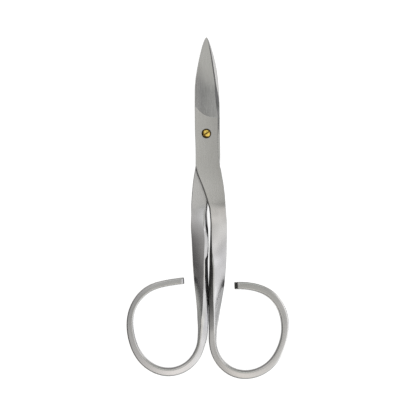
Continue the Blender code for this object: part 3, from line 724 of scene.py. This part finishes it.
rear_finishes = [
    # painted light and shade along the rear strip and across it
    steel("rear_satin_steel_and_painted_light", *REAR_SATIN,
          ((-110.0, 1.0), (-104.0, 0.87), (-98.0, 0.87), (-91.0, 1.04), (-80.0, 1.17), (-67.0, 1.28), (-62.0, 1.15),
           (-57.0, 1.0), *PAINTED_LIGHT_AND_SHADE_BY_THE_PIVOT), -0.028),
    *shared,
    # painted shade on the outer edge of the rear loop
    steel("rear_rim_painted_shade_steel", *EASED_EDGE, ((-112.0, 1.0), (-107.0, 0.62), (-86.0, 0.62), (-80.0, 1.0))),
    # painted light, with a little painted shade, on the rear shank's face that turns outwards
    steel("rear_wall_painted_light_steel", *REAR_SATIN,
          ((-58.0, 1.0), (-54.0, 0.96), (-52.0, 1.02), (-49.5, 1.32), (-47.0, 1.34), (-44.5, 1.25), (-41.0, 1.0)),
          ((-56.0, -0.028), (-50.0, 0.11), (-46.0, 0.12), (-41.0, -0.028))),
]
front_finishes = [
    # painted light and shade along the front strip and across it
    steel("front_satin_steel_and_painted_light", *FRONT_SATIN,
          ((-118.0, 0.90), (-111.0, 1.0), (-104.0, 1.0), (-99.0, 0.88), (-90.0, 1.0), (-64.0, 1.0), (-59.0, 1.02),
           (-55.0, 1.08), (-50.0, 1.05), (-46.0, 1.0), *PAINTED_LIGHT_AND_SHADE_BY_THE_PIVOT),
          ((-62.0, -0.028), (-54.0, -0.09), (-48.0, -0.09), (-43.0, -0.028),
           (-28.0, -0.028), (-24.5, -0.085), (-21.6, -0.085), (-18.9, -0.028))),
    *shared,
    # painted light on the outer edge of the front loop
    steel("front_rim_painted_light_steel", *EASED_EDGE, ((-110.0, 1.0), (-104.0, 1.38), (-90.0, 1.38), (-84.0, 1.0))),
]
front_finishes.append(front_finishes[SATIN])


def brass():
    """Turned brass: fine rings, and painted shade low on the dome and in the slot."""
    paint = Paint("screw_brass")
    shader = paint.shader
    shader.inputs["Metallic"].default_value = 1.0
    where = paint.node("ShaderNodeTexCoord")
    shift = paint.node("ShaderNodeMapping")
    shift.inputs["Location"].default_value = (-PIVOT_X * MM, -PIVOT_Y * MM, 0)
    paint.link(where.outputs["Object"], shift.inputs["Vector"])
    split = paint.node("ShaderNodeSeparateXYZ")
    paint.link(shift.outputs["Vector"], split.inputs["Vector"])
    flat = paint.node("ShaderNodeCombineXYZ")
    paint.link(split.outputs["X"], flat.inputs["X"])
    paint.link(split.outputs["Y"], flat.inputs["Y"])
    length = paint.node("ShaderNodeVectorMath", operation="LENGTH")
    paint.link(flat.outputs["Vector"], length.inputs[0])
    rings = paint.math("SINE", paint.math("MULTIPLY", length.outputs["Value"], 2 * math.pi * 14 / MM), 0.0)
    rings = paint.spread(rings, 0.0, 1.0, -1.0, 1.0)
    cloud = paint.cloud_noise(1.6, 3.0)
    mixed = paint.math("ADD", paint.math("MULTIPLY", rings, 0.25), paint.math("MULTIPLY", cloud, 0.75))
    # painted shade low on the head: the colour darkens round the rim, in the slot and dimple, and most where the slot
    # meets the rim
    turned = paint.node("ShaderNodeMapping")
    turned.inputs["Rotation"].default_value = (0, 0, -math.radians(SLOT_ANGLE))
    paint.link(shift.outputs["Vector"], turned.inputs["Vector"])
    along = paint.node("ShaderNodeSeparateXYZ")
    paint.link(turned.outputs["Vector"], along.inputs["Vector"])
    ends = paint.math("MULTIPLY", paint.math("MULTIPLY", along.outputs["X"], along.outputs["X"]), -0.22 / MM)
    lean = paint.math("MULTIPLY", along.outputs["X"], 0.12)
    level = paint.math("ADD", split.outputs["Z"], paint.math("ADD", ends, lean))
    low = paint.node("ShaderNodeMapRange", interpolation_type="SMOOTHSTEP")
    low.inputs["From Min"].default_value = 3.80 * MM
    low.inputs["From Max"].default_value = 4.10 * MM
    paint.link(level, low.inputs["Value"])
    bright = paint.mix_colour(paint.spread(mixed, 0.0, 1.0, 0.3, 0.7), (0.84, 0.58, 0.12), (0.96, 0.72, 0.18))
    head_shade = paint.node("ShaderNodeMix", data_type="RGBA")
    head_shade.inputs["A"].default_value = (0.24, 0.14, 0.035, 1)
    paint.link(low.outputs["Result"], head_shade.inputs["Factor"])
    paint.link(bright, head_shade.inputs["B"])
    for socket in head_shade.outputs:
        if socket.type == "RGBA":
            paint.link(socket, shader.inputs["Base Color"])
    paint.link(paint.spread(mixed, 0.16, 0.28), shader.inputs["Roughness"])
    paint.link(paint.bump(mixed, 0.3, 0.006 * MM), shader.inputs["Normal"])
    return paint.material


# ------------------------------------------------------------------- pieces
def hole_tool(name, profile):
    return object_of(name, turned_mesh(name, profile, finish=BORE))


bore = NECK_RADIUS + RUNNING_GAP
front_piece = object_of("front_blade_shank_loop", half_mesh("front_blade_shank_loop", True))
rear_piece = object_of("rear_blade_shank_loop", half_mesh("rear_blade_shank_loop", False))
for piece, finishes in ((front_piece, front_finishes), (rear_piece, rear_finishes)):
    for finish in finishes:
        piece.data.materials.append(finish)

front_tool = hole_tool("front_tool", [
    (0, FRONT_BOTTOM - 1), (bore, FRONT_BOTTOM - 1), (bore, COUNTERBORE_FLOOR_Z),
    (COUNTERBORE_RADIUS, COUNTERBORE_FLOOR_Z), (COUNTERBORE_RADIUS, FRONT_TOP - 0.05),
    (COUNTERBORE_RADIUS + 0.05, FRONT_TOP), (COUNTERBORE_RADIUS + 0.05, FRONT_TOP + 1), (0, FRONT_TOP + 1),
])
flare = TAIL_RADIUS + TAIL_GAP
rear_tool = hole_tool("rear_tool", [
    (0, -1), (flare + 0.04, -1), (flare + 0.04, 0.0), (flare, 0.04), (flare, 0.25), (bore, 0.62),
    (bore, REAR_TOP + 1), (0, REAR_TOP + 1),
])
for tool, finishes in ((front_tool, front_finishes), (rear_tool, rear_finishes)):
    for finish in finishes:
        tool.data.materials.append(finish)
cut(front_piece, [front_tool])
cut(rear_piece, [rear_tool])
for piece in (front_piece, rear_piece):
    mark_creases(piece.data, 28)

rise = HEAD_TOP_Z - HEAD_RIM_Z
screw_profile = [(0, 0.08), (TAIL_RADIUS * 0.6, 0.06), (TAIL_RADIUS - 0.06, 0.06), (TAIL_RADIUS, 0.10), (TAIL_RADIUS, 0.20)]
screw_profile += [(NECK_RADIUS, 0.55), (NECK_RADIUS, COUNTERBORE_FLOOR_Z + 0.1)]
screw_profile += [(HEAD_RADIUS - 0.08, COUNTERBORE_FLOOR_Z + 0.1), (HEAD_RADIUS, COUNTERBORE_FLOOR_Z + 0.18)]
for i in range(25):
    angle = math.radians(90 * i / 24)
    screw_profile.append((HEAD_RADIUS * math.cos(angle), HEAD_RIM_Z + rise * math.sin(angle)))
screw_profile[-1] = (0, HEAD_TOP_Z)
screw_piece = object_of("slotted_brass_screw", turned_mesh("slotted_brass_screw", screw_profile))
bm = bmesh.new()
bmesh.ops.create_cube(bm, size=1.0)
bmesh.ops.scale(bm, verts=bm.verts, vec=(4 * HEAD_RADIUS * MM, SLOT_WIDTH * MM, 2 * MM))
bmesh.ops.translate(bm, verts=bm.verts, vec=(0, 0, (HEAD_TOP_Z - SLOT_DEPTH + 1.0) * MM))
bmesh.ops.rotate(bm, verts=bm.verts, cent=(0, 0, 0), matrix=Matrix.Rotation(math.radians(SLOT_ANGLE), 3, "Z"))
bmesh.ops.translate(bm, verts=bm.verts, vec=(PIVOT_X * MM, PIVOT_Y * MM, 0))
slot_mesh = bpy.data.meshes.new("slot_tool")
bm.to_mesh(slot_mesh)
bm.free()
slot_tool = object_of("slot_tool", slot_mesh)
dimple_tool = object_of("dimple_tool", turned_mesh("dimple_tool", [(0, 3.70), (0.17, 3.87), (0.17, 4.5), (0, 4.5)], steps=32))
cut(screw_piece, [slot_tool, dimple_tool])
mark_creases(screw_piece.data, 28)
screw_piece.data.materials.clear()
screw_piece.data.materials.append(brass())

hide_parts("front_half")
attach(front_piece, "front_body")
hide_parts("rear_half")
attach(rear_piece, "rear_body")
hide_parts("pivot_screw")
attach(screw_piece, "rear_body")

# -------------------------------------------------------------------- stage
floor_mesh = bpy.data.meshes.new("floor")
size = 1.5
floor_mesh.from_pydata([(-size, -size, -2e-5), (size, -size, -2e-5), (size, size, -2e-5), (-size, size, -2e-5)], [], [(0, 1, 2, 3)])
floor = object_of("floor", floor_mesh)
pale = Paint("pale_floor")
pale.shader.inputs["Roughness"].default_value = 0.9
pale.shader.inputs["Specular IOR Level"].default_value = 0.0
pale.link(pale.mix_colour(pale.cloud_noise(0.004, 2.0), (0.55, 0.55, 0.55), (0.58, 0.58, 0.58)), pale.shader.inputs["Base Color"])
pale.shader.inputs["Emission Color"].default_value = (1, 1, 1, 1)
pale.shader.inputs["Emission Strength"].default_value = 0.85
floor.data.materials.append(pale.material)
floor.visible_glossy = False


def soft_light(name, place, size, power):
    data = bpy.data.lights.new(name, "AREA")
    data.shape = "DISK"
    data.size = size
    data.energy = power
    thing = bpy.data.objects.new(name, data)
    bpy.context.scene.collection.objects.link(thing)
    thing.location = place
    thing.rotation_euler = (Vector((0, 0, 0)) - Vector(place)).to_track_quat("-Z", "Y").to_euler()
    thing.visible_glossy = False
    return thing


soft_light("overhead", (0.1, -0.15, 0.9), 1.0, 1.5)


# the studio round the object: soft lights, each with its direction, tightness and colour
STUDIO = (
    ((0.44, -0.34, 0.83), 16.8, (1.05, 1.04, 1.02)),
    ((-0.00, 0.08, 1.00), 50.1, (0.46, 0.46, 0.42)),
    ((0.29, -0.14, -0.95), 7.4, (1.66, 1.65, 1.65)),
    ((0.77, 0.42, 0.49), 19, (1.40, 1.39, 1.43)),
    ((-0.31, 0.47, 0.83), 24.7, (0.98, 0.99, 0.99)),
    ((0.92, -0.31, 0.24), 10, (1.31, 1.30, 1.33)),
    ((-0.90, 0.09, -0.42), 28.7, (0.37, 0.39, 0.35)),
    ((0.50, 0.83, -0.25), 16.9, (0.71, 0.67, 0.63)),
    ((-0.64, -0.59, -0.50), 17.7, (2.18, 2.09, 2.02)),
    ((-0.59, 0.81, -0.00), 4.9, (0.81, 0.77, 0.76)),
    ((0.46, 0.13, 0.88), 48.5, (0.99, 0.96, 0.95)),
    ((-0.01, -0.41, 0.91), 50.6, (1.00, 0.93, 0.87)),
    ((0.27, -0.91, -0.32), 4.8, (1.38, 1.40, 1.42)),
    ((0.79, 0.52, -0.33), 70, (1.95, 1.89, 1.78)),
    ((-0.52, -0.19, 0.83), 9.3, (0.67, 0.66, 0.64)),
    ((0.19, 0.72, 0.67), 25, (1.04, 1.11, 1.06)),
    ((0.96, -0.17, -0.22), 60, (0.24, 0.24, 0.24)),
)
STUDIO_BASE = (0.00, 0.00, 0.00)
LATE_LIGHT = 0.06


def studio_world():
    world = bpy.data.worlds.new("studio")
    bpy.context.scene.world = world
    world.use_nodes = True
    world.cycles.sampling_method = "NONE"  # every look at the studio is then counted by its own bounces
    tree = world.node_tree
    tree.nodes.clear()

    def node(kind, **settings):
        made = tree.nodes.new(kind)
        for key, value in settings.items():
            setattr(made, key, value)
        return made

    toward = node("ShaderNodeTexCoord").outputs["Generated"]
    total = node("ShaderNodeCombineXYZ")
    for socket, value in zip(total.inputs, STUDIO_BASE):
        socket.default_value = value
    total = total.outputs[0]
    for direction, tightness, colour in STUDIO:
        unit = Vector(direction).normalized()
        dot = node("ShaderNodeVectorMath", operation="DOT_PRODUCT")
        tree.links.new(toward, dot.inputs[0])
        dot.inputs[1].default_value = unit
        less = node("ShaderNodeMath", operation="MULTIPLY_ADD")
        tree.links.new(dot.outputs["Value"], less.inputs[0])
        less.inputs[1].default_value = tightness
        less.inputs[2].default_value = -tightness
        lobe = node("ShaderNodeMath", operation="EXPONENT")
        tree.links.new(less.outputs[0], lobe.inputs[0])
        add = node("ShaderNodeVectorMath", operation="SCALE")
        add.inputs[0].default_value = colour
        tree.links.new(lobe.outputs[0], add.inputs["Scale"])
        total_next = node("ShaderNodeVectorMath", operation="ADD")
        tree.links.new(total, total_next.inputs[0])
        tree.links.new(add.outputs[0], total_next.inputs[1])
        total = total_next.outputs[0]
    path = node("ShaderNodeLightPath")
    # light that reaches the steel only by way of the other half is mostly lost in the narrow gaps
    late = node("ShaderNodeMath", operation="GREATER_THAN")
    tree.links.new(path.outputs["Ray Depth"], late.inputs[0])
    late.inputs[1].default_value = 2.5
    kept = node("ShaderNodeMapRange")
    tree.links.new(late.outputs[0], kept.inputs["Value"])
    kept.inputs["To Min"].default_value = 1.0
    kept.inputs["To Max"].default_value = LATE_LIGHT
    dimmed = node("ShaderNodeVectorMath", operation="SCALE")
    tree.links.new(total, dimmed.inputs[0])
    tree.links.new(kept.outputs["Result"], dimmed.inputs["Scale"])
    total = dimmed.outputs[0]
    seen = node("ShaderNodeBackground")
    seen.inputs["Color"].default_value = (0.97, 0.97, 0.97, 1)
    lit = node("ShaderNodeBackground")
    tree.links.new(total, lit.inputs["Color"])
    mix = node("ShaderNodeMixShader")
    tree.links.new(path.outputs["Is Camera Ray"], mix.inputs[0])
    tree.links.new(lit.outputs[0], mix.inputs[1])
    tree.links.new(seen.outputs[0], mix.inputs[2])
    out = node("ShaderNodeOutputWorld")
    tree.links.new(mix.outputs[0], out.inputs["Surface"])


studio_world()

# ------------------------------------------------------------------- camera
camera_data = bpy.data.cameras.new("camera")
camera_data.sensor_fit = "HORIZONTAL"
camera_data.sensor_width = 36.0
camera_data.lens = 18.0 / math.tan(math.atan(61.15 / 450.0))
camera_data.clip_start = 0.01
camera = bpy.data.objects.new("camera", camera_data)
bpy.context.scene.collection.objects.link(camera)
camera.location = (0.118 * MM, -0.079 * MM, 0.452)
camera.rotation_euler = (0, 0, 0)
bpy.context.scene.camera = camera
bpy.context.scene.view_settings.view_transform = "Standard"
bpy.context.scene.view_settings.look = "None"
